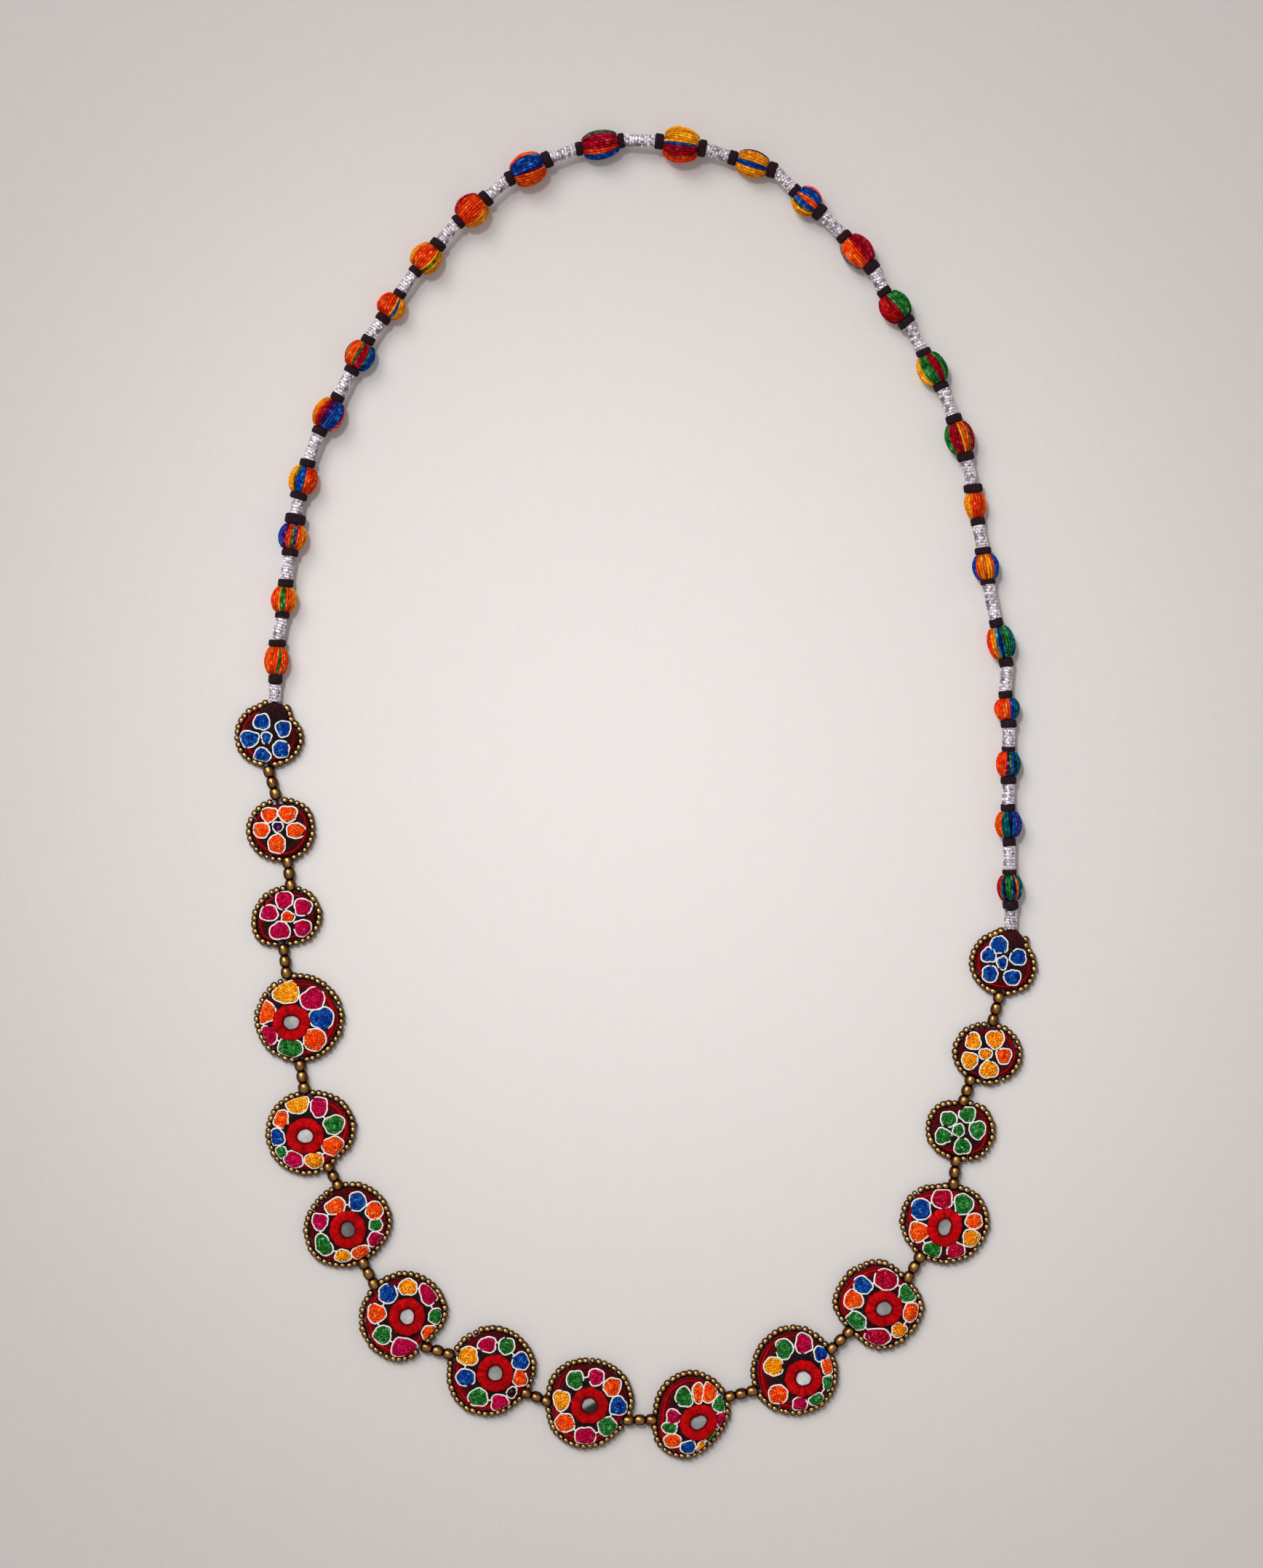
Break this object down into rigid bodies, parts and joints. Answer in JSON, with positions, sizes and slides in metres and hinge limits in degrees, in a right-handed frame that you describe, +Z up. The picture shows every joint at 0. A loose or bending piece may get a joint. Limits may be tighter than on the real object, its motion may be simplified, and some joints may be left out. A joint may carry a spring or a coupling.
{
  "type": "embroidered necklace",
  "caption": "Long folk necklace: embroidered mirror discs edged with seed beads, with yarn-wound beads, silver sleeves and brass beads strung in one closed loop.",
  "frame": {"origin": "middle of the necklace's bounding box, on the surface that it lies on", "axes": "+Z up out of the discs' fronts, +Y from the lowest disc to the beads behind the neck, +X to the right of somebody who looks down on it"},
  "size_m": [0.2768, 0.4583, 0.0125],
  "materials": {
    "embroidered_cloth": "dark woven cloth, embroidered",
    "seed_beads": "antique gold metal, darkened, glossy",
    "wound_yarn": "wound cotton yarn in several colours, matte",
    "brass_beads": "antique, darkened, satin",
    "mirror_glass": "polished, slightly worn",
    "ring_thread": "red cotton stitching, matte",
    "silver_foil": "bright foil wound in ridges",
    "collar_cloth": "near-black wound cloth, matte",
    "string_thread": "dark cotton thread, matte"
  },
  "bodies": {
    "root": {"disc_01": "embroidered_cloth", "disc_02": "embroidered_cloth", "disc_03": "embroidered_cloth", "disc_04": "embroidered_cloth", "disc_05": "embroidered_cloth", "disc_06": "embroidered_cloth", "disc_07": "embroidered_cloth", "disc_08": "embroidered_cloth", "disc_09": "embroidered_cloth", "disc_10": "embroidered_cloth", "disc_11": "embroidered_cloth", "disc_12": "embroidered_cloth", "disc_13": "embroidered_cloth", "disc_14": "embroidered_cloth", "disc_15": "embroidered_cloth", "disc_16": "embroidered_cloth", "yarn_bead_01": "wound_yarn", "yarn_bead_02": "wound_yarn", "yarn_bead_03": "wound_yarn", "yarn_bead_04": "wound_yarn", "yarn_bead_05": "wound_yarn", "yarn_bead_06": "wound_yarn", "yarn_bead_07": "wound_yarn", "yarn_bead_08": "wound_yarn", "yarn_bead_09": "wound_yarn", "yarn_bead_10": "wound_yarn", "yarn_bead_11": "wound_yarn", "yarn_bead_12": "wound_yarn", "yarn_bead_13": "wound_yarn", "yarn_bead_14": "wound_yarn", "yarn_bead_15": "wound_yarn", "yarn_bead_16": "wound_yarn", "yarn_bead_17": "wound_yarn", "yarn_bead_18": "wound_yarn", "yarn_bead_19": "wound_yarn", "yarn_bead_20": "wound_yarn", "yarn_bead_21": "wound_yarn", "yarn_bead_22": "wound_yarn", "yarn_bead_23": "wound_yarn", "yarn_bead_24": "wound_yarn", "yarn_bead_25": "wound_yarn", "seed_edging": "seed_beads", "mirrors": "mirror_glass", "mirror_rings": "ring_thread", "brass_spacers_right": "brass_beads", "brass_spacers_bottom": "brass_beads", "brass_spacers_left": "brass_beads", "silver_sleeves": "silver_foil", "black_collars": "collar_cloth", "stringing_thread": "string_thread"}
  },
  "joints": []
}
